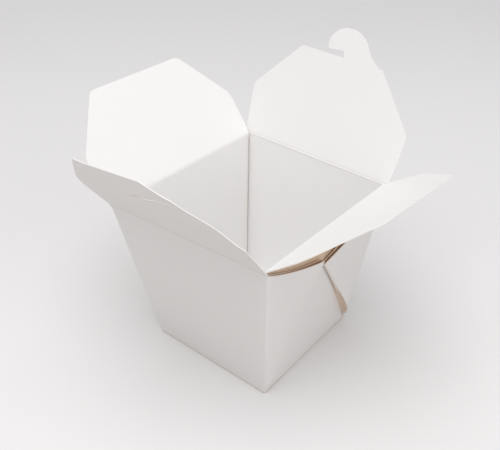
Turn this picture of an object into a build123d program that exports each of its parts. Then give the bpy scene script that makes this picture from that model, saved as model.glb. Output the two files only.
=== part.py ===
from build123d import *
from math import atan, cos, hypot, pi, radians, sin, tan
import os

# Folding carton with four open lid flaps, one sheet of coated white board.
# Millimetres, +Z up, origin at the middle of the underside.
# The front (slit flap) faces -Y, the back (hook flap) +Y, the side flaps -X and +X.

# Board and folds
board = 0.45
crease_gap = 0.15        # air between a flap's rolled root and the wall below it
fold_gap_low = 0.35      # air between folded layers at the floor
fold_gap_rim = 0.75      # the same at the rim, where the layers fan apart
corner_bend = 0.8        # outside radius of the four upright corners
floor_bend = 0.4         # outside radius along the floor's creases

# Tub, measured over the outer faces of its four wall panels
base_x = 74.0
base_y = 73.0
rim_x = 91.5
rim_y = 102.0
height = 85.0

# Corner webs, folded in half and laid on the outside of the two side walls
web_tip_gap = 0.7        # between the tips that meet in the middle of a side wall
web_drop = 0.8           # top of a web below the rim crease, at the corner
web_sag = 1.6            # how far its curved top edge dips below the chord

# Flaps: how far each leans out from upright, as the carton stands open
slit_lean = 35.0
hook_lean = 22.0
left_lean = 39.5
right_lean = 54.0

# Front and back flaps
end_root = 90.0          # width along the crease
end_width = 99.0         # widest
end_shoulder = 26.5      # crease to the widest point
end_top = 50.0
end_length = 55.5

# Side flaps
side_root = 98.0
side_width = 100.0
side_shoulder = 26.0
side_top = 60.5
side_length = 55.0
flap_round = 4.5         # corners of the flaps
hook_flap_round = 1.2    # the hook flap's top corners are nearly sharp

# Slit in the front flap, which takes the hook
slit_length = 26.0
slit_width = 0.6
slit_centre = 7.0        # to the right of the flap's middle
slit_height = 38.5       # above the crease

# Hook on the back flap, from the flap's middle and from its top edge
notch_side = 1.0         # side of the neck, at the notch
notch_height = 3.2
lobe_reach = 9.9         # tip of the lobe, to the left
lobe_height = 5.6        # of that tip
lobe_start = 7.4         # where the lobe's underside begins to curve
lobe_end = 8.6           # where the lobe runs into the head
lobe_end_height = 8.8
crown_height = 15.0
crown_side = 1.0
brow_side = 13.2         # where the head turns into the neck
brow_height = 9.2
neck_side = 16.2         # middle of the neck's hollow side
neck_height = 4.2
foot_side = 23.8         # where the hollow meets the flap's top edge

# Worked out from the sizes above
run_x = (rim_x - base_x) / 2
run_y = (rim_y - base_y) / 2
lean_x = atan(run_x / height)
lean_y = atan(run_y / height)
skin_x = board / cos(lean_x)
skin_y = board / cos(lean_y)
hinge_x = rim_x / 2 - skin_x / 2
hinge_y = rim_y / 2 - skin_y / 2
wall_top = height - board / 2 - crease_gap
clear = height

# A web's fold leaves the floor corner half way between the two walls' upright edges, as in the flat sheet
edge_lean_x = atan(run_y / hypot(height, run_x))
edge_lean_y = atan(run_x / hypot(height, run_y))
web_half = (1.5 * pi - (pi / 2 + edge_lean_x) - (pi / 2 + edge_lean_y)) / 2
web_lean = web_half - edge_lean_x
tip_y = web_tip_gap / 2
tip_z = (base_y / 2 - tip_y) / tan(web_lean) * cos(lean_x)
web_top_z = height - web_drop
web_top_y = rim_y / 2 - web_drop * tan(lean_y)

# Outer faces of the folded layers on a side wall: (half size at the floor, half size at the rim)
wall_face_x = (base_x / 2, rim_x / 2)
inner_web_x = (base_x / 2 + fold_gap_low + skin_x, rim_x / 2 + fold_gap_rim + skin_x)
outer_web_x = (inner_web_x[0] + fold_gap_low + skin_x, inner_web_x[1] + fold_gap_rim + skin_x)
wall_face_y = (base_y / 2, rim_y / 2)
end_inside_y = (base_y / 2 - skin_y, rim_y / 2 - skin_y)
side_edge_y = (end_inside_y[0] - fold_gap_low, end_inside_y[1] - fold_gap_low)


def inward(half_sizes, distance):
    return (half_sizes[0] - distance, half_sizes[1] - distance)


def taper(half_x, half_y, mode=Mode.ADD):
    """Solid with sloping sides between a rectangle at the floor and one at the rim."""
    with BuildSketch(Plane.XY) as low:
        Rectangle(2 * half_x[0], 2 * half_y[0])
    with BuildSketch(Plane.XY.offset(height)) as high:
        Rectangle(2 * half_x[1], 2 * half_y[1])
    loft(sections=[low.sketch, high.sketch], mode=mode)


def side_layer(face_x, half_y):
    """One sheet of board on each side, lying against the leaning side walls."""
    taper(face_x, half_y)
    taper(inward(face_x, skin_x), inward(half_y, -clear), mode=Mode.SUBTRACT)


def web_outline():
    """Outlines of the webs of one side wall, seen along X and open to the outside of each corner."""
    chord_mid = Vector((web_top_y + tip_y) / 2, (web_top_z + tip_z) / 2 - web_sag)
    with BuildLine() as outline:
        ThreePointArc((web_top_y, web_top_z), chord_mid, (tip_y, tip_z))
        Polyline(
            (tip_y, tip_z),
            (base_y / 2, 0),
            (base_y / 2 + clear, 0),
            (web_top_y + clear, web_top_z),
            (web_top_y, web_top_z),
        )
    make_face(outline.edges())
    mirror(about=Plane.YZ)


def keep_webs():
    """Trim to the four web outlines."""
    with BuildSketch(Plane.YZ) as outlines:
        web_outline()
    extrude(to_extrude=outlines.sketch, amount=clear, both=True, mode=Mode.INTERSECT)


def keep_fold_strips():
    """Trim to a strip one board wide along each web's fold, seen along X."""
    fold = Vector(tip_y - base_y / 2, tip_z).normalized()
    across = Vector(fold.Y, -fold.X) * board
    foot = Vector(base_y / 2, 0)
    end = Vector(tip_y, tip_z) + fold * board
    with BuildSketch(Plane.YZ) as strips:
        with BuildLine():
            Polyline(foot, end, end + across, foot + across, close=True)
        make_face()
        mirror(about=Plane.YZ)
    extrude(to_extrude=strips.sketch, amount=clear, both=True, mode=Mode.INTERSECT)


def upright(edge):
    """True for an edge that climbs from the floor to the rim."""
    return abs(edge.position_at(1).Z - edge.position_at(0).Z) > height / 2


os.makedirs("parts", exist_ok=True)

# Side walls with their edges turned back: a wall, the turned edges and the inner webs
with BuildPart() as side_walls:
    taper(wall_face_x, side_edge_y)
    fillet(side_walls.faces().filter_by(Plane.XY).sort_by(Axis.Z)[0].edges().filter_by(Axis.Y), floor_bend)
    taper(inward(wall_face_x, skin_x), inward(side_edge_y, -clear), mode=Mode.SUBTRACT)

with BuildPart() as inner_webs:
    side_layer(inner_web_x, side_edge_y)
    keep_webs()

with BuildPart() as turned_edges:
    taper(inner_web_x, side_edge_y)
    taper(inward(inner_web_x, -clear), inward(side_edge_y, board), mode=Mode.SUBTRACT)
    taper(inward(wall_face_x, skin_x), wall_face_y, mode=Mode.SUBTRACT)
    keep_webs()

with BuildPart() as web_folds:
    taper(outer_web_x, side_edge_y)
    taper(inward(inner_web_x, skin_x), wall_face_y, mode=Mode.SUBTRACT)
    keep_fold_strips()
    keep_webs()

# End walls run past the side walls and wrap round them into the outer webs
with BuildPart() as wrap_inside:
    taper(inward(outer_web_x, skin_x), end_inside_y)
    fillet(wrap_inside.edges().filter_by(upright), corner_bend - board)

with BuildPart() as beside_webs:
    taper(inward(outer_web_x, -clear), inward(wall_face_y, corner_bend))
    with BuildSketch(Plane.YZ):
        web_outline()
    extrude(amount=2 * clear, both=True, mode=Mode.SUBTRACT)

with BuildPart() as wraps:
    taper(outer_web_x, wall_face_y)
    fillet(wraps.edges().filter_by(upright), corner_bend)
    fillet(wraps.faces().filter_by(Plane.XY).sort_by(Axis.Z)[0].edges().filter_by(Axis.X), floor_bend)
    add(wrap_inside.part, mode=Mode.SUBTRACT)
    add(beside_webs.part, mode=Mode.SUBTRACT)

with BuildPart() as carton:
    with BuildSketch(Plane.XY):
        Rectangle(base_x - 2 * floor_bend, base_y - 2 * floor_bend)
    extrude(amount=board)
    for piece in (side_walls, wraps, turned_edges, inner_webs, web_folds):
        add(piece.part)
    with BuildSketch(Plane.XY.offset(wall_top)):
        Rectangle(4 * rim_x, 4 * rim_y)
    extrude(amount=height, mode=Mode.SUBTRACT)
carton.part.label = "carton"
export_step(carton.part, "parts/carton.step")


def lean_plane(foot, along, outward, lean):
    """Plane of a flap: x along the crease, y up the flap, origin on the crease."""
    up = Vector(*outward) * sin(radians(lean)) + Vector(0, 0, 1) * cos(radians(lean))
    return Plane(origin=foot, x_dir=along, z_dir=Vector(*along).cross(up))


def half_outline(root, width, shoulder, top, length):
    """Right half of a flap: out along the crease, up the side and in along the top."""
    return [(root / 2, 0), (width / 2, shoulder), (top / 2, length)]


def flap_sheet(plane, outline, root):
    """Board of the outline, with a rolled root along the crease."""
    extrude(to_extrude=outline, amount=board / 2, both=True)
    with Locations(plane):
        Cylinder(radius=board / 2, height=root, rotation=(0, 90, 0))


def above_crease(corner):
    return corner.Y > board


front = lean_plane((0, -hinge_y, height), (1, 0, 0), (0, -1, 0), slit_lean)
back = lean_plane((0, hinge_y, height), (1, 0, 0), (0, 1, 0), hook_lean)
left = lean_plane((-hinge_x, 0, height), (0, 1, 0), (-1, 0, 0), left_lean)
right = lean_plane((hinge_x, 0, height), (0, 1, 0), (1, 0, 0), right_lean)
end_half = half_outline(end_root, end_width, end_shoulder, end_top, end_length)
side_half = half_outline(side_root, side_width, side_shoulder, side_top, side_length)

# Front flap with the slit
with BuildPart() as slit_flap:
    with BuildSketch(front) as slit_outline:
        with BuildLine():
            Polyline(*end_half, *[(-x, y) for x, y in reversed(end_half)], close=True)
        make_face()
        fillet(slit_outline.vertices().filter_by(above_crease), flap_round)
        with Locations((slit_centre, slit_height)):
            SlotOverall(slit_length, slit_width, mode=Mode.SUBTRACT)
    flap_sheet(front, slit_outline.sketch, end_root)
slit_flap.part.label = "slit_flap"
export_step(slit_flap.part, "parts/slit_flap.step")

# Back flap with the hook cut in one with it
with BuildPart() as hook_flap:
    with BuildSketch(back) as hook_outline:
        with BuildLine():
            Polyline(*end_half, *[(-x, y) for x, y in reversed(end_half)], close=True)
        make_face()
        fillet(hook_outline.vertices().group_by(Axis.Y)[1], flap_round)
        fillet(hook_outline.vertices().group_by(Axis.Y)[-1], hook_flap_round)
        with BuildLine():
            Polyline(
                (foot_side, end_length),
                (foot_side, end_length - board),
                (notch_side, end_length - board),
                (notch_side, end_length + notch_height),
                (-lobe_start, end_length + notch_height),
            )
            ThreePointArc(
                (-lobe_start, end_length + notch_height),
                (-lobe_reach, end_length + lobe_height),
                (-lobe_end, end_length + lobe_end_height),
            )
            ThreePointArc(
                (-lobe_end, end_length + lobe_end_height),
                (crown_side, end_length + crown_height),
                (brow_side, end_length + brow_height),
            )
            ThreePointArc(
                (brow_side, end_length + brow_height),
                (neck_side, end_length + neck_height),
                (foot_side, end_length),
            )
        make_face()
    flap_sheet(back, hook_outline.sketch, end_root)
hook_flap.part.label = "hook_flap"
export_step(hook_flap.part, "parts/hook_flap.step")

# Plain side flaps
for name, plane in (("left_flap", left), ("right_flap", right)):
    with BuildPart() as side_flap:
        with BuildSketch(plane) as side_outline:
            with BuildLine():
                Polyline(*side_half, *[(-x, y) for x, y in reversed(side_half)], close=True)
            make_face()
            fillet(side_outline.vertices().filter_by(above_crease), flap_round)
        flap_sheet(plane, side_outline.sketch, side_root)
    side_flap.part.label = name
    export_step(side_flap.part, f"parts/{name}.step")
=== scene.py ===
import bpy
from math import cos, hypot, pi, radians, sin, sqrt, tan
from mathutils import Matrix, Vector


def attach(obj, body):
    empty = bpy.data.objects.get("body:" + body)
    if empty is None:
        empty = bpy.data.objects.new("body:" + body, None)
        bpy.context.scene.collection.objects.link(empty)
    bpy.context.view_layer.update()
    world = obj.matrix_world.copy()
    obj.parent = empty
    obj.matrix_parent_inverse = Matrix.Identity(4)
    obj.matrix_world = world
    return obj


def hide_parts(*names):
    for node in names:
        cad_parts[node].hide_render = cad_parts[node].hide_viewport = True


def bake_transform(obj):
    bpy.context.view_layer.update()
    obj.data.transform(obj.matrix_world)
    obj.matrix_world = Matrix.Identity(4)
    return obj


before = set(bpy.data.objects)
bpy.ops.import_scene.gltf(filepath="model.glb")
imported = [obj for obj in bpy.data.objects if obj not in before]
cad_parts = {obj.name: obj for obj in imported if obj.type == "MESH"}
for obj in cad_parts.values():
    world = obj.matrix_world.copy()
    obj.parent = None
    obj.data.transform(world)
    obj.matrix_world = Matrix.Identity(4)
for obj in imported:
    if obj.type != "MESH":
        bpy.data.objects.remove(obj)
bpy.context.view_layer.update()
print("frame loaded")

# Blender works in metres. Lengths in the dictionaries of the box are in mm, angles in degrees.
# Front wall -Y with the slit flap, back wall +Y with the hook flap, side walls at +X and -X.
mm = 0.001
board = 0.45
halfBoard = board / 2
hair, near = 1e-6, 1e-5  # metres: the play of a cut, and of a search for a point


def deselectAll():
    for other in bpy.context.selected_objects:
        other.select_set(False)


def makeActive(piece):
    deselectAll()
    piece.select_set(True)
    bpy.context.view_layer.objects.active = piece


def smooth(low, high, value):  # 0 below low, 1 above high, an even ramp between
    share = min(1.0, max(0.0, (value - low) / (high - low)))
    return share * share * (3 - 2 * share)


def lerp(a, b, share):
    return a + (b - a) * share


def hump(value):  # 0 at both ends of 0..1 and 1 in the middle
    return sin(pi * min(1.0, max(0.0, value)))


def arch(tall, value):  # 0 at both ends of 0..1 and tall in the middle
    return tall * 4 * value * (1 - value)


def applyModifiers(piece):
    makeActive(piece)
    for modifier in list(piece.modifiers):
        bpy.ops.object.modifier_apply(modifier=modifier.name)


def selectParts(piece, kind, test):  # by place, and leaves the piece in edit mode
    bpy.ops.object.mode_set(mode="EDIT")
    bpy.ops.mesh.select_mode(type=kind)
    bpy.ops.mesh.select_all(action="DESELECT")
    bpy.ops.object.mode_set(mode="OBJECT")
    if kind == "VERT":
        for vertex in piece.data.vertices:
            vertex.select = bool(test(vertex.co))
    else:
        for face in piece.data.polygons:
            face.select = bool(test(face.center))
    bpy.ops.object.mode_set(mode="EDIT")


def pushOut(piece, amount, weightAt):  # moves the sheet along its own Z, as far as weightAt says
    if amount == 0:
        return
    group = piece.vertex_groups.new(name="push")
    for vertex in piece.data.vertices:
        group.add([vertex.index], min(1.0, max(0.0, weightAt(vertex.co.x, vertex.co.y))), "REPLACE")
    push = piece.modifiers.new("push", "DISPLACE")
    push.direction, push.mid_level, push.strength = "Z", 0, amount
    push.vertex_group = group.name
    applyModifiers(piece)
    piece.vertex_groups.remove(piece.vertex_groups["push"])


def addShades(piece):  # painted shade: how far the coating takes the darker warm tint of a deep fold, for the outer and the inner side
    return [piece.data.attributes.new(name, "FLOAT", "POINT") for name in ("shadeOut", "shadeIn")]


# Materials: the board's two coated sides, its cut edge and the ground
coating = dict(
    # both sides are the same white board: the inside is given lighter and warmer than the outside, painted
    # light for the light that shines through the board and bounces among the walls inside the box
    outside=(0.88, 0.875, 0.875), inside=(0.945, 0.935, 0.93), edge=(0.94, 0.925, 0.9),
    # painted shade: the darker warm tints that the coating and the cut edge take where they lie in shade, in
    # folds, creases, at the slit and along the floor
    paintedFoldShade=(0.79, 0.61, 0.46), paintedEdgeShade=(0.83, 0.74, 0.65), roughness=0.46,
    mottle=0.012, mottleScale=35, mottleDetail=5,
    fibre=0.10, fibreScale=1400, fibreDetail=4, fibreTall=0.1,
)
# painted light on the ground as the camera sees it: lighter near, darker far off along the turned direction.
# The bounce colour is the even colour it gives to the light it sends onto the box
ground = dict(
    wide=8, roughness=0.9, specular=0.1, turn=-129.5, reach=(-0.09, 0.64), bounce=(0.70, 0.67, 0.655),
    paintedLightTones=((0, (0.875, 0.868, 0.87)), (0.3, (0.815, 0.807, 0.81)), (1, (0.755, 0.747, 0.752))),
)


def newMaterial(name):
    material = bpy.data.materials.new(name)
    material.use_nodes = True
    return material, material.node_tree.nodes, material.node_tree.links


def makeCoating(name, colour, shadeName, shadeColour):
    material, nodes, links = newMaterial(name)
    surface = nodes["Principled BSDF"]
    surface.inputs["Roughness"].default_value = coating["roughness"]
    place = nodes.new("ShaderNodeTexCoord")

    def makeNoise(scale, detail):
        noise = nodes.new("ShaderNodeTexNoise")
        noise.inputs["Scale"].default_value = scale
        noise.inputs["Detail"].default_value = detail
        links.new(place.outputs["Object"], noise.inputs["Vector"])
        return noise

    cloud = makeNoise(coating["mottleScale"], coating["mottleDetail"])
    tone = nodes.new("ShaderNodeMix")
    tone.data_type = "RGBA"
    tone.inputs["A"].default_value = (*[c * (1 - coating["mottle"]) for c in colour], 1)
    tone.inputs["B"].default_value = (*[c * (1 + coating["mottle"]) for c in colour], 1)
    links.new(cloud.outputs["Fac"], tone.inputs["Factor"])
    # painted shade: the shade attribute mixes the coating towards the darker warm tint of a deep fold
    fold = nodes.new("ShaderNodeAttribute")
    fold.attribute_name = shadeName
    warm = nodes.new("ShaderNodeMix")
    warm.data_type = "RGBA"
    warm.inputs["B"].default_value = (*shadeColour, 1)
    links.new(fold.outputs["Fac"], warm.inputs["Factor"])
    links.new(tone.outputs["Result"], warm.inputs["A"])
    links.new(warm.outputs["Result"], surface.inputs["Base Color"])
    fibre = makeNoise(coating["fibreScale"], coating["fibreDetail"])
    bump = nodes.new("ShaderNodeBump")
    bump.inputs["Strength"].default_value = coating["fibre"]
    bump.inputs["Distance"].default_value = coating["fibreTall"] * mm
    links.new(fibre.outputs["Fac"], bump.inputs["Height"])
    links.new(bump.outputs["Normal"], surface.inputs["Normal"])
    return material


def makeGround():
    material, nodes, links = newMaterial("groundPaper")
    surface = nodes["Principled BSDF"]
    surface.inputs["Roughness"].default_value = ground["roughness"]
    surface.inputs["Specular IOR Level"].default_value = ground["specular"]
    place = nodes.new("ShaderNodeTexCoord")
    turn = nodes.new("ShaderNodeMapping")
    turn.inputs["Rotation"].default_value = (0, 0, radians(ground["turn"]))
    reach = nodes.new("ShaderNodeMapRange")
    reach.inputs["From Min"].default_value, reach.inputs["From Max"].default_value = ground["reach"]
    ramp = nodes.new("ShaderNodeValToRGB")
    ramp.color_ramp.interpolation = "EASE"
    parts = nodes.new("ShaderNodeSeparateXYZ")
    links.new(place.outputs["Object"], turn.inputs["Vector"])
    links.new(turn.outputs["Vector"], parts.inputs["Vector"])
    links.new(parts.outputs["X"], reach.inputs["Value"])
    links.new(reach.outputs["Result"], ramp.inputs["Fac"])
    stops = ramp.color_ramp.elements
    while len(stops) < len(ground["paintedLightTones"]):
        stops.new(0.5)
    for stop, (at, tone) in zip(stops, ground["paintedLightTones"]):
        stop.position = at
        stop.color = (*tone, 1)
    # the camera sees the painted light, every other ray meets the even bounce colour
    seen = nodes.new("ShaderNodeLightPath")
    bounce = nodes.new("ShaderNodeMix")
    bounce.data_type = "RGBA"
    bounce.inputs["A"].default_value = (*ground["bounce"], 1)
    links.new(seen.outputs["Is Camera Ray"], bounce.inputs["Factor"])
    links.new(ramp.outputs["Color"], bounce.inputs["B"])
    links.new(bounce.outputs["Result"], surface.inputs["Base Color"])
    return material


coatOutside = makeCoating("coatOutside", coating["outside"], "shadeOut", coating["paintedFoldShade"])
coatInside = makeCoating("coatInside", coating["inside"], "shadeIn", coating["paintedFoldShade"])
# the cut edge takes painted shade too, where it lies in a fold or at the slit
cutEdge = makeCoating("cutEdge", coating["edge"], "shadeIn", coating["paintedEdgeShade"])
groundPaper = makeGround()
print("materials made")


# Flaps, each laid flat first: X across it, Y up it from the crease, Z its outer face
# lean and wallLean: of the flap and of its wall, out from upright. rise: the crease above the hinge line
# outline: (across, up, rounding), from the foot on the right round the top to the foot on the left
# for the crease and the slit: how much painted shade, the darker warm tint of a deep fold, the outer and the
# inner side take there
flapMake = dict(
    cellWide=2.4, rowsAbove=22, rowBelow=0.2, creaseBends=8, cornerNear=0.2, cornerSteps=6,
    creaseShadeShare=0.35, curlFrom=-0.4, blendPast=0.4, smoothTo=35,
)
slitFlap = dict(
    lean=36.4, wallLean=9.5, middle=(0, -50.7), rise=0, across=(1, 0.037), wide=52, tall=56.5, below=1.4,
    crease=0.9, creaseShade=(0.55, 0.1), bead=0.22, beadAt=0, beadWide=0.9, twist=0, curl=0,
    outline=(
        (47.3, -1.4, 0), (47.9, 0, 0), (48.2, 15, 0), (48.7, 26.8, 2.4), (25.2, 55.6, 1.2), (8.5, 55.9, 0),
        (-28.0, 56.4, 0.8), (-48.4, 29.0, 4), (-51.5, 20, 3), (-51.0, 14, 2), (-48.1, 0, 0), (-47.1, -1.4, 0),
    ),
    slit=((-7.4, 37.9), (16.8, 41.6)), slitOpen=(0.25, 0.7), slitShade=(0.55, 1), slitShadeTall=0.6, slitShadePast=0.1,
    lipOut=0.7, lipTall=10, ridgeTop=8.5, ridgeTall=2.0, ridgeFall=(30, 15),
    bendTo=(36, 33), bendEnd=46, bendTall=1.8, bendFall=14,
)
hookFlap = dict(
    lean=23, wallLean=9.5, middle=(0, 50.6), rise=1.1, across=(-1, 0.037), wide=51, tall=55.5, below=2.8,
    crease=1.0, creaseShade=(0.4, 0.2), bead=0.22, beadAt=-1.0, beadWide=1.3, twist=0.9, curl=0,
    outline=(
        (47.2, -2.8, 0), (48.3, 0, 0), (49.2, 9, 0), (51.0, 27.0, 2.2), (25.6, 54.4, 0.8),
        (-25.3, 53.1, 0.6), (-49.8, 25.4, 2.2), (-49.2, 9, 0), (-48.3, 0, 0), (-47.2, -2.8, 0),
    ),
)
leftFlap = dict(
    lean=39.8, wallLean=5.9, middle=(-45.43, 0), rise=0, across=(0, -1), wide=53, tall=55.5, below=2.2,
    crease=2.6, creaseShade=(0, 0), bead=0, beadAt=0, beadWide=1, twist=-0.8, curl=0,
    outline=(
        (50.6, -2.2, 0), (51.0, 0, 0), (52.2, 8, 0), (52.8, 25.6, 2.6), (30.5, 55.5, 2.4),
        (-30.5, 55.5, 2.4), (-52.8, 25.6, 2.6), (-52.2, 8, 0), (-51.0, 0, 0), (-50.6, -2.2, 0),
    ),
)
rightFlap = dict(
    lean=53.6, wallLean=5.9, middle=(45.5, 0), rise=0, across=(0, 1), wide=50, tall=54.4, below=1.6,
    crease=1.2, creaseShade=(0.4, 0.1), bead=0.15, beadAt=0, beadWide=1.2, twist=-2.0, curl=1.7,
    outline=(
        (47.6, -1.6, 0), (48.4, 0, 0), (49.2, 8, 0), (49.4, 25, 3), (29.4, 52.5, 2.2),
        (-29.6, 54.4, 2.6), (-49.4, 25, 5), (-49.2, 8, 0), (-48.4, 0, 0), (-47.6, -1.6, 0),
    ),
)


def flatSheet(name, wide, low, high):
    deselectAll()
    bpy.ops.mesh.primitive_plane_add(size=1)
    piece = bpy.context.object
    piece.name = name
    piece.scale = (2 * wide, high - low, 1)
    piece.location = (0, (high + low) / 2, 0)
    bpy.ops.object.transform_apply(location=True, rotation=False, scale=True)
    return piece


def trimLine(start, end):  # cuts off what lies to the right of the line from start to end
    along = Vector((end[0] - start[0], end[1] - start[1], 0))
    bpy.ops.mesh.select_all(action="SELECT")
    bpy.ops.mesh.bisect(
        plane_co=(*start, 0), plane_no=(along.y, -along.x, 0),
        clear_outer=True, use_fill=False, threshold=hair,
    )


def cutLine(at, normal):
    bpy.ops.mesh.select_all(action="SELECT")
    bpy.ops.mesh.bisect(plane_co=(*at, 0), plane_no=(*normal, 0), threshold=hair)


def cutCells(piece, wide, rows):  # divides the sheet so that it can bend
    bpy.ops.object.mode_set(mode="EDIT")
    count = round(2 * wide / (flapMake["cellWide"] * mm))
    for i in range(1, count):
        cutLine((-wide + 2 * wide * i / count, 0), (1, 0))
    for row in rows:
        cutLine((0, row), (0, 1))
    bpy.ops.object.mode_set(mode="OBJECT")


def roundCorners(piece, corners):
    for x, y, rounding in corners:
        if rounding:
            selectParts(
                piece, "VERT", lambda co: hypot(co.x - x * mm, co.y - y * mm) < flapMake["cornerNear"] * mm
            )
            bpy.ops.mesh.bevel(offset=rounding * mm, segments=flapMake["cornerSteps"], affect="VERTICES")
    bpy.ops.object.mode_set(mode="OBJECT")


def flapBlank(name, spec):
    piece = flatSheet(name, spec["wide"] * mm, -spec["below"] * mm, spec["tall"] * mm)
    bpy.ops.object.mode_set(mode="EDIT")
    corners = [(x * mm, y * mm) for x, y, _ in spec["outline"]]
    for start, end in zip(corners, corners[1:]):
        trimLine(start, end)
    bpy.ops.object.mode_set(mode="OBJECT")
    roundCorners(piece, spec["outline"])
    return piece


def creaseRows(width):  # the lines of the crease's small equal bends
    bends = flapMake["creaseBends"]
    return [width * ((i + 0.5) / bends - 0.5) for i in range(bends)]


def flapRows(spec):  # fine rows below the crease, the crease's own, and even rows above it
    crease, tall, foot = spec["crease"] * mm, spec["tall"] * mm, spec["below"] * mm
    step, count = flapMake["rowBelow"] * mm, flapMake["rowsAbove"]
    below = [-crease / 2 - step * i for i in range(1, round(foot / step)) if crease / 2 + step * i < foot]
    return below + creaseRows(crease) + [crease + (tall - crease) * i / count for i in range(count)]


def foldCrease(piece, angle, width):  # turns all above the crease outward
    lines = creaseRows(width)
    for line in reversed(lines):
        selectParts(piece, "VERT", lambda co: co.y > line + hair)
        bpy.ops.transform.rotate(value=-angle / len(lines), orient_axis="X", center_override=(0, line, 0))
    bpy.ops.object.mode_set(mode="OBJECT")


def scoreAndTwist(piece, spec):  # the crease's bead, one end leaning further out, and the curled corner
    wide, tall = spec["wide"] * mm, spec["tall"] * mm
    at, half = spec["beadAt"] * mm, spec["beadWide"] * mm / 2
    pushOut(piece, -spec["bead"] * mm, lambda x, y: hump(((y - at) / half + 1) / 2))
    twist = tan(radians(spec["twist"])) * tall
    pushOut(piece, twist, lambda x, y: max(0.0, y / tall) * max(0.0, -x / wide))
    pushOut(piece, -twist, lambda x, y: max(0.0, y / tall) * max(0.0, x / wide))
    curlFrom = flapMake["curlFrom"] * wide
    pushOut(piece, spec["curl"] * mm, lambda x, y: max(0.0, y / tall) ** 2 * smooth(curlFrom, wide, x))


def paintCreaseShade(piece, spec, inSlitShade):  # paints shade along the crease's groove and just above the slit, where the sheet lies in shade
    shades = addShades(piece)
    for vertex in piece.data.vertices:
        inCreaseShade = abs(vertex.co.y) < spec["crease"] * mm * flapMake["creaseShadeShare"]
        shadeValues = spec["creaseShade"] if inCreaseShade else spec["slitShade"] if inSlitShade(vertex.co) else (0, 0)
        for shade, value in zip(shades, shadeValues):
            shade.data[vertex.index].value = value


def finishSheet(piece):  # gives the folded sheet its thickness, its two coated sides and its cut edge
    for material in (coatOutside, coatInside, cutEdge):
        piece.data.materials.append(material)
    sheet = piece.modifiers.new("board", "SOLIDIFY")
    sheet.thickness, sheet.offset = board * mm, 0
    sheet.material_offset, sheet.material_offset_rim = 1, 2
    applyModifiers(piece)


def flapAxes(spec, lean):  # along the crease, and up a sheet that leans so far
    across = Vector((*spec["across"], 0)).normalized()
    outward = across.cross(Vector((0, 0, 1)))
    return across, outward * sin(radians(lean)) + Vector((0, 0, cos(radians(lean))))


def seat(piece, middle, across, up):  # stands the flat sheet on its crease
    normal = across.cross(up)
    turn = Matrix((across, up, normal)).transposed().to_4x4()
    piece.matrix_world = Matrix.Translation(middle) @ turn
    makeActive(piece)
    bpy.ops.object.transform_apply(location=True, rotation=True, scale=True)


def blendFlap(piece, node):  # hides the frame's flap and bakes the sheet's placing into its mesh
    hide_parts(node)
    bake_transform(piece)


def finishFlap(piece, spec, node, inSlitShade=lambda co: False):
    scoreAndTwist(piece, spec)
    paintCreaseShade(piece, spec, inSlitShade)
    foldCrease(piece, radians(spec["lean"] - spec["wallLean"]), spec["crease"] * mm)
    finishSheet(piece)
    middle = [value * mm for value in (*spec["middle"], tub["height"] + spec["rise"])]
    seat(piece, middle, *flapAxes(spec, spec["wallLean"]))
    bpy.ops.object.shade_smooth_by_angle(angle=radians(flapMake["smoothTo"]))
    blendFlap(piece, node)


def makeSlitFlap(name, spec, node):
    piece = flapBlank(name, spec)
    (left, leftUp), (right, rightUp) = [(x * mm, y * mm) for x, y in spec["slit"]]
    slope = (rightUp - leftUp) / (right - left)
    tall, ridgeTop, lipTall = spec["tall"] * mm, spec["ridgeTop"] * mm, spec["lipTall"] * mm
    bendX, bendY = spec["bendTo"][0] * mm, spec["bendTo"][1] * mm
    leftFall, rightFall = [fall * mm for fall in spec["ridgeFall"]]

    def slitUp(x):  # the slit's height, and beyond its right end the crease that runs on from it
        if x < right:
            return leftUp + slope * (x - left)
        return lerp(rightUp, bendY, (x - right) / (bendX - right))

    def halfGap(x):
        return lerp(*spec["slitOpen"], (x - left) / (right - left)) * mm / 2

    bpy.ops.object.mode_set(mode="EDIT")
    for x in (left, right):
        cutLine((x, 0), (1, 0))
    for side in (1, -1):
        run = Vector((right - left, rightUp - leftUp + side * (halfGap(right) - halfGap(left))))
        cutLine((left, leftUp + side * halfGap(left)), (-run.y, run.x))
    cutLine((right, rightUp), (rightUp - bendY, bendX - right))
    ridgeRun = Vector((ridgeTop - left, tall - leftUp))
    cutLine((left, leftUp), (-ridgeRun.y, ridgeRun.x))
    bpy.ops.object.mode_set(mode="OBJECT")
    cutCells(piece, spec["wide"] * mm, flapRows(spec))
    selectParts(piece, "FACE", lambda at: left < at.x < right and abs(at.y - slitUp(at.x)) < halfGap(at.x))
    bpy.ops.mesh.delete(type="FACE")
    bpy.ops.object.mode_set(mode="OBJECT")

    def ridge(x, y):  # a soft crease from the slit's left end up to the top edge
        share = max(0.0, (y - leftUp) / (tall - leftUp))
        past = x - lerp(left, ridgeTop, share)
        return share * max(0.0, 1 + past / leftFall if past < 0 else 1 - past / rightFall)

    def bendLine(x, y):  # the flap's bend along the slit and on to the right
        line = slitUp(x)
        grown = smooth(left, right, x) * (1 - smooth(bendX, spec["bendEnd"] * mm, x))
        return grown * (y / line if y < line else 1 - (y - line) / (spec["bendFall"] * mm))

    def lowerLip(x, y):
        line = slitUp(x)
        return (y < line) * smooth(line - lipTall, line, y) * hump((x - left) / (right - left))

    # painted shadow: a thin band just above the slit, under its upper edge
    def inSlitShade(co):
        past, tallest = right + spec["slitShadePast"] * mm, spec["slitShadeTall"] * mm
        return left < co.x < past and 0 < co.y - slitUp(co.x) < tallest

    pushOut(piece, -spec["ridgeTall"] * mm, ridge)
    pushOut(piece, -spec["bendTall"] * mm, bendLine)
    pushOut(piece, spec["lipOut"] * mm, lowerLip)
    finishFlap(piece, spec, node, inSlitShade)


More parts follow.
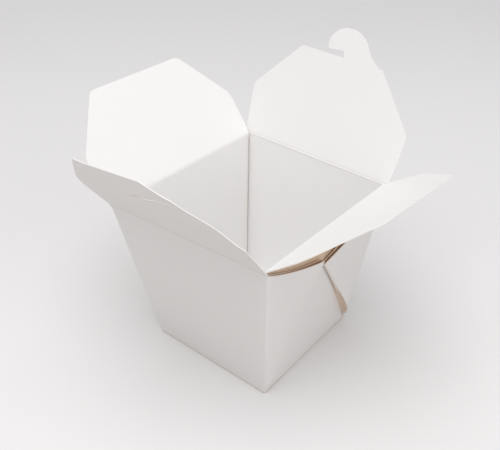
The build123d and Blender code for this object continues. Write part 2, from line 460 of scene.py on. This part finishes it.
hookShape = dict(  # (across, up, rounding), from the notch over the head to the foot
    notch=-1.5, foot=-23.6, rows=6,
    corners=(
        (-0.4, 57.2, 0), (9.6, 56.5, 1.4), (10.1, 62.5, 3.0), (4.4, 68.9, 4.4), (-6.6, 68.9, 4.6),
        (-13.2, 63.5, 2.8), (-16.6, 57.5, 3.6),
    ),
)


def addHook(piece, shape):
    bpy.ops.object.mode_set(mode="EDIT")
    for x in (shape["notch"], shape["foot"]):
        cutLine((x * mm, 0), (1, 0))
    bpy.ops.object.mode_set(mode="OBJECT")

    def topAt(x):
        line = [vertex.co.copy() for vertex in piece.data.vertices if abs(vertex.co.x - x * mm) < near]
        return max(line, key=lambda co: co.y)

    notch, foot = topAt(shape["notch"]), topAt(shape["foot"])
    corners = [Vector((x * mm, y * mm, 0)) for x, y, _ in shape["corners"]]
    selectParts(piece, "VERT", lambda co: (co - notch).length < near)
    here = notch
    for corner in (*corners, foot):
        bpy.ops.mesh.extrude_region_move(TRANSFORM_OT_translate={"value": corner - here})
        here = corner
    bpy.ops.mesh.select_all(action="SELECT")
    bpy.ops.mesh.remove_doubles(threshold=hair)
    ring = (notch, *corners, foot)
    selectParts(piece, "VERT", lambda co: any((co - corner).length < near for corner in ring))
    bpy.ops.mesh.edge_face_add()
    bpy.ops.mesh.select_all(action="SELECT")
    bpy.ops.mesh.normals_make_consistent(inside=False)
    bpy.ops.object.mode_set(mode="OBJECT")
    roundCorners(piece, shape["corners"])


def makeHookFlap(name, spec, node):
    piece = flapBlank(name, spec)
    addHook(piece, hookShape)
    crown, rows = max(corner[1] for corner in hookShape["corners"]), hookShape["rows"]
    onHook = [lerp(spec["tall"], crown, i / rows) * mm for i in range(rows)]
    cutCells(piece, spec["wide"] * mm, flapRows(spec) + onHook)
    finishFlap(piece, spec, node)


def makeSideFlap(name, spec, node):
    piece = flapBlank(name, spec)
    cutCells(piece, spec["wide"] * mm, flapRows(spec))
    finishFlap(piece, spec, node)


# Tub: one folded band of four walls and four doubled corner webs, and a floor
# rack: how far each corner of the base is off square, by side wall and end wall
tub = dict(
    height=85, floorX=36.4, floorY=36.5, rimX=45.75, rimLeftY=52.4, rimRightY=49.0,
    endTop=83.75, sideTop={1: 83.5, -1: 83.0}, gapLow=0.08, gapRim=0.75, footStep=0.06, footTall=9,
    cornerBend=1.3, bendRun=3, edgeInset=0.8, rimEdge=0.3, rowCrowding=1.6, smoothTo=38,
    # painted shade: a thin line of the fold tint along the walls' foot, where they meet the floor
    floorBend=0.6, floorLift=0.04, floorContactShade=0.9, floorContactShadeTall=0.8,
    rack={(-1, -1): (0.8, -0.5), (1, -1): (2.2, -1.5), (-1, 1): (1.8, 0.6), (1, 1): (-0.4, 1.9)},
)
webs = {  # by side wall and end wall. open: how far its fold stands off the wall, at heights along the fold
    (1, -1): dict(
        tipY=-5.0, tipZ=67.8, swell=0.5, flare=0, sag=1.6, bow=0,
        open=((0, 0), (0.2, 0.5), (0.7, 0.8), (1, 1.5)),
    ),
    (1, 1): dict(
        tipY=-1.7, tipZ=64.0, swell=0.3, flare=1.6, sag=1.4, bow=1.9,
        open=(
            (0, 0), (0.06, 0.5), (0.14, 2.2), (0.2, 3.5), (0.27, 3.8),
            (0.36, 3.2), (0.46, 2.2), (0.58, 1.2), (0.7, 0.7), (1, 0.5),
        ),
    ),
    (-1, -1): dict(
        tipY=-0.6, tipZ=67.0, swell=0.5, flare=0, sag=1.6, bow=0,
        open=((0, 0), (0.2, 1.0), (0.7, 0.6), (1, 0.2)),
    ),
    (-1, 1): dict(
        tipY=0.4, tipZ=67.8, swell=0.6, flare=0.8, sag=1.6, bow=0,
        open=((0, 0), (0.2, 0.6), (0.7, 0.8), (1, 1.2)),
    ),
}
webMake = dict(  # what all four webs share: their layers, their turned folds, and the painted shade under them and in a sprung fold's hollow
    bowTo=(0.88, 0.47), swellPower=0.7, flarePower=0.8, flareFrom=0.6, innerFlare=0.45, innerSink=0.7,
    sprung=(1, 3), foldReach=0.7, sprungReach=-0.3, reachFrom=0.03, footPlay=0.001,
    sprungShade=2.5, shadeRise=0.15, shadeFall=(0.4, 1), shadeDrop=0.7,
    shadeBesideFold=(-0.5, 2.5), shadeBelowTip=(6, 1),
)
# Columns of a quarter band, from the middle of an end wall to the middle of a side wall
stations = (
    ("end", 10), ("corner", 6), ("outerWeb", 14), ("fold", 12), ("innerWeb", 14), ("edge", 7), ("side", 26),
)
bandRows = 54
wallLayer, innerLayer, outerLayer = 0, 1, 2
cornerBend = tub["cornerBend"] - halfBoard


def rackAt(at):  # how far a place on the base is off square
    shareX, shareY = [
        min(1, max(0, 0.5 + 0.5 * value / half))
        for value, half in ((at.x, tub["floorX"]), (at.y, tub["floorY"]))
    ]
    corners = {corner: Vector((*rack, 0)) for corner, rack in tub["rack"].items()}
    front = corners[-1, -1].lerp(corners[1, -1], shareX)
    return front.lerp(corners[-1, 1].lerp(corners[1, 1], shareX), shareY)


def layerX(layer, z):  # the middle of one of the side wall's three layers, at a height
    share = z / tub["height"]
    gap = lerp(tub["gapLow"], tub["gapRim"], share)
    apart = lerp(tub["footStep"], gap + 2 * halfBoard, smooth(0, tub["footTall"], z))
    return lerp(tub["floorX"], tub["rimX"], share) + layer * apart - halfBoard


def endY(x, z):  # the middle of an end wall's board. The box is deeper at the left rim than at the right
    rim = lerp(tub["rimLeftY"], tub["rimRightY"], (x + tub["rimX"]) / (2 * tub["rimX"]))
    return lerp(tub["floorY"], rim, z / tub["height"]) - halfBoard


def foldOpening(web, row):
    stops = web["open"]
    for (low, start), (high, end) in zip(stops, stops[1:]):
        if row <= high:
            return lerp(start, end, smooth(low, high, row))
    return stops[-1][1]


def foldGaping(web, row):  # 0 for a fold pressed flat, 1 for one that has sprung open
    return smooth(*webMake["sprung"], foldOpening(web, row))


def webFootY(sideX):
    return endY(sideX * tub["floorX"], 0) - cornerBend


def webPoint(sideX, sideY, along, row, cornerY, layer):  # on a web, from its corner (along 0) to its fold (1)
    web = webs[sideX, sideY]
    corner = Vector((cornerY, row * tub["endTop"]))
    fold = Vector((webFootY(sideX), 0)).lerp(Vector((sideY * web["tipY"], web["tipZ"])), row)
    fold += arch(Vector(webMake["bowTo"]) * web["bow"], row)
    at = corner.lerp(fold, along)
    at.y -= arch(web["sag"], along) * row * row
    flare = web["flare"] * hump(along ** webMake["flarePower"]) * smooth(webMake["flareFrom"], 1, row)
    if layer == outerLayer:
        stand = foldOpening(web, row) * along * along
        lift = stand + web["swell"] * hump(along) * hump(row ** webMake["swellPower"]) + flare
    else:
        lift = webMake["innerFlare"] * flare - webMake["innerSink"] * foldGaping(web, row) * along ** 4
    return at, layerX(layer, at.y) + lift, fold


def bandPoint(sideX, sideY, station, share, row):  # on a quarter of the band, in metres
    z = row * tub["endTop"]
    outX = layerX(outerLayer, z)
    cornerY = endY(sideX * outX, z) - cornerBend
    edgeRound = (layerX(innerLayer, z) - layerX(wallLayer, z)) / 2
    edgeY = endY(sideX * outX, z) - tub["edgeInset"] - halfBoard - edgeRound
    if station == "end":
        x = share * (outX - cornerBend)
        y = endY(sideX * x, z)
    elif station == "corner":
        x = outX - cornerBend + cornerBend * sin(share * pi / 2)
        y = cornerY + cornerBend * cos(share * pi / 2)
    elif station == "outerWeb":
        (y, z), x, _ = webPoint(sideX, sideY, share, row, cornerY, outerLayer)
    elif station == "fold":
        _, outerX, fold = webPoint(sideX, sideY, 1, row, cornerY, outerLayer)
        _, innerX, _ = webPoint(sideX, sideY, 1, row, edgeY, innerLayer)
        along = (fold - Vector((webFootY(sideX), -webMake["footPlay"]))).normalized()
        pressed = min((outerX - innerX) / 2, webMake["foldReach"])
        reach = lerp(pressed, webMake["sprungReach"], foldGaping(webs[sideX, sideY], row))
        reach *= sin(share * pi) * min(1, row / webMake["reachFrom"])
        x = lerp(innerX, outerX, (1 + cos(share * pi)) / 2)
        y, z = fold.x - along.y * reach, fold.y + along.x * reach
    elif station == "innerWeb":
        (y, z), x, _ = webPoint(sideX, sideY, 1 - share, row, edgeY, innerLayer)
    elif station == "edge":
        z = row * lerp(tub["endTop"], tub["sideTop"][sideX], share)
        x = lerp(layerX(wallLayer, z), layerX(innerLayer, z), (1 + cos(share * pi)) / 2)
        y = edgeY + edgeRound * sin(share * pi)
    else:
        z = row * tub["sideTop"][sideX]
        x = layerX(wallLayer, z)
        y = edgeY * (1 - share)
    z = max(z, 0)
    under = max(0.0, tub["floorBend"] - z)
    tuck = tub["floorBend"] - sqrt(tub["floorBend"] ** 2 - under ** 2)
    run = tub["bendRun"]
    x -= tuck * smooth(outX - cornerBend - run, outX - cornerBend, x) if station == "end" else tuck
    y -= tuck * smooth(cornerY - run, cornerY, y)
    at = Vector((sideX * x, sideY * y, z + tub["floorLift"]))
    return (at + rackAt(at) * (1 - z / tub["height"])) * mm


# Painted shade: how much of the darker warm tint of a deep fold the outer and the inner side take
foldShade = dict(
    end=(0, 0), corner=(0, 0), outerWeb=(0, 1), fold=(0, 1), innerWeb=(1, 1), edge=(1, 0.3), side=(1, 0),
)


def underWeb(sideX, sideY, at):  # painted shade on the side wall: 1 where a web lies over it and in a band under the rim above the webs' tips, 0 where the wall shows
    web = webs[sideX, sideY]
    y, z = sideY * at.y / mm, at.z / mm
    foldY = lerp(tub["floorY"], sideY * web["tipY"], z / web["tipZ"])
    low, high = [web["tipZ"] - below for below in webMake["shadeBelowTip"]]
    return max(smooth(*webMake["shadeBesideFold"], y - foldY), smooth(low, high, z))


# painted shade of the band, outer and inner side: in the webs' layers, on the wall under them, in a sprung
# fold's hollow and along the floor
def bandShade(sideX, sideY, station, share, row, at):
    covered = underWeb(sideX, sideY, at) if station == "side" else 1
    outer, inner = [value * covered for value in foldShade[station]]
    # painted shadow in a sprung fold's hollow: dark just inside the outer layer's edge, fading towards the
    # inner layer
    if station == "fold":
        gaping = min(1, foldOpening(webs[sideX, sideY], row) / webMake["sprungShade"])
        falling = 1 - webMake["shadeDrop"] * smooth(*webMake["shadeFall"], share)
        outer = gaping * smooth(0, webMake["shadeRise"], share) * falling
    # painted contact shadow along the walls' foot
    elif at.z < tub["floorContactShadeTall"] * mm:
        outer = max(outer, tub["floorContactShade"])
    return outer, inner


def makeQuarter(sideX, sideY):
    columns = sum(count for _, count in stations)
    deselectAll()
    bpy.ops.mesh.primitive_grid_add(x_subdivisions=columns, y_subdivisions=bandRows, size=1)
    piece = bpy.context.object
    shades = addShades(piece)
    for vertex in piece.data.vertices:
        column, row = round((vertex.co.x + 0.5) * columns), (vertex.co.y + 0.5) ** tub["rowCrowding"]
        for station, count in stations:
            if column <= count:
                break
            column -= count
        share = column / count
        vertex.co = bandPoint(sideX, sideY, station, share, row)
        for shade, value in zip(shades, bandShade(sideX, sideY, station, share, row, vertex.co)):
            shade.data[vertex.index].value = value
    return piece


def makeBand():
    quarters = [makeQuarter(sideX, sideY) for sideX in (1, -1) for sideY in (1, -1)]
    deselectAll()
    for quarter in quarters:
        quarter.select_set(True)
    bpy.context.view_layer.objects.active = quarters[0]
    bpy.ops.object.join()
    piece = bpy.context.object
    piece.name = "cartonSheet"
    bpy.ops.object.mode_set(mode="EDIT")
    bpy.ops.mesh.select_all(action="SELECT")
    bpy.ops.mesh.remove_doubles(threshold=2 * hair)
    bpy.ops.mesh.normals_make_consistent(inside=False)
    bpy.ops.object.mode_set(mode="OBJECT")
    front = min(piece.data.polygons, key=lambda face: face.center.y + abs(face.center.x))
    if front.normal.y > 0:
        piece.data.flip_normals()
    finishSheet(piece)
    edgeSlot, insideSlot = 2, 1
    for face in piece.data.polygons:  # the walls run on into their flaps, so only the webs show a cut edge
        if face.material_index == edgeSlot and abs(face.center.x) < (tub["rimX"] + tub["rimEdge"]) * mm:
            face.material_index = insideSlot
    return piece


def makeBase(materials):
    deselectAll()
    bpy.ops.mesh.primitive_cube_add(size=1, location=(0, 0, halfBoard * mm))
    base = bpy.context.object
    inset = tub["floorBend"]
    base.scale = (
        2 * (layerX(wallLayer, 0) - inset) * mm, 2 * (endY(0, 0) - inset) * mm, 2 * halfBoard * mm
    )
    bpy.ops.object.transform_apply(location=True, rotation=True, scale=True)
    for (sideX, sideY), (rackX, rackY) in tub["rack"].items():
        selectParts(base, "VERT", lambda co: co.x * sideX > 0 and co.y * sideY > 0)
        bpy.ops.transform.translate(value=(rackX * mm, rackY * mm, 0))
    bpy.ops.object.mode_set(mode="OBJECT")
    for material in materials:
        base.data.materials.append(material)


def makeCarton():
    piece = makeBand()
    makeBase(piece.data.materials)
    piece.select_set(True)
    bpy.context.view_layer.objects.active = piece
    bpy.ops.object.join()
    bpy.ops.object.shade_smooth_by_angle(angle=radians(tub["smoothTo"]))
    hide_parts("carton")
    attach(piece, "tub")


makeSlitFlap("slitFlapSheet", slitFlap, "slit_flap")
makeHookFlap("hookFlapSheet", hookFlap, "hook_flap")
makeSideFlap("leftFlapSheet", leftFlap, "left_flap")
makeSideFlap("rightFlapSheet", rightFlap, "right_flap")
print("flaps made")
makeCarton()
print("carton made")


# Ground, camera and light. The camera's place is in mm, the other lengths here and in ground are in metres
view = dict(
    azimuth=39.463, elevation=33.142, roll=0.122, lens=52.19, sensor=36, clipStart=0.01,
    place=(196.96, -242.05, 269.77),
)
sky = dict(colour=(1, 0.99, 0.985), strength=0.58)
lamps = dict(
    overheadLamp=dict(place=(0.1, -0.35, 1.7), size=1.6, power=15.8),
    rightLamp=dict(place=(2.0, -0.3, 0.6), size=1.4, power=4.8),
)
lampAim = (0, 0, 0.05)


def makeFloor():
    deselectAll()
    bpy.ops.mesh.primitive_plane_add(size=ground["wide"])
    floor = bpy.context.object
    floor.name = "groundPlane"
    floor.data.materials.append(groundPaper)


def makeCamera():
    deselectAll()
    bpy.ops.object.camera_add()
    camera = bpy.context.object
    azimuth, elevation = radians(view["azimuth"]), radians(view["elevation"])
    back = Vector((sin(azimuth) * cos(elevation), -cos(azimuth) * cos(elevation), sin(elevation)))
    camera.location = Vector(view["place"]) * mm
    camera.rotation_mode = "QUATERNION"
    level = (-back).to_track_quat("-Z", "Y")
    camera.rotation_quaternion = level @ Matrix.Rotation(radians(view["roll"]), 3, "Z").to_quaternion()
    camera.data.sensor_width = view["sensor"]
    camera.data.lens = view["lens"]
    camera.data.clip_start = view["clipStart"]
    bpy.context.scene.camera = camera


def makeLights():
    world = bpy.context.scene.world or bpy.data.worlds.new("world")
    bpy.context.scene.world = world
    world.use_nodes = True
    background = world.node_tree.nodes["Background"]
    background.inputs["Color"].default_value = (*sky["colour"], 1)
    background.inputs["Strength"].default_value = sky["strength"]
    for name, spec in lamps.items():
        deselectAll()
        bpy.ops.object.light_add(type="AREA", location=spec["place"])
        lamp = bpy.context.object
        lamp.name = name
        lamp.data.size, lamp.data.energy = spec["size"], spec["power"]
        lamp.rotation_mode = "QUATERNION"
        lamp.rotation_quaternion = (Vector(lampAim) - Vector(spec["place"])).to_track_quat("-Z", "Y")


makeFloor()
makeCamera()
makeLights()
scene = bpy.context.scene
scene.view_settings.view_transform = "Standard"
print("ground, camera and light made")

bpy.context.view_layer.update()
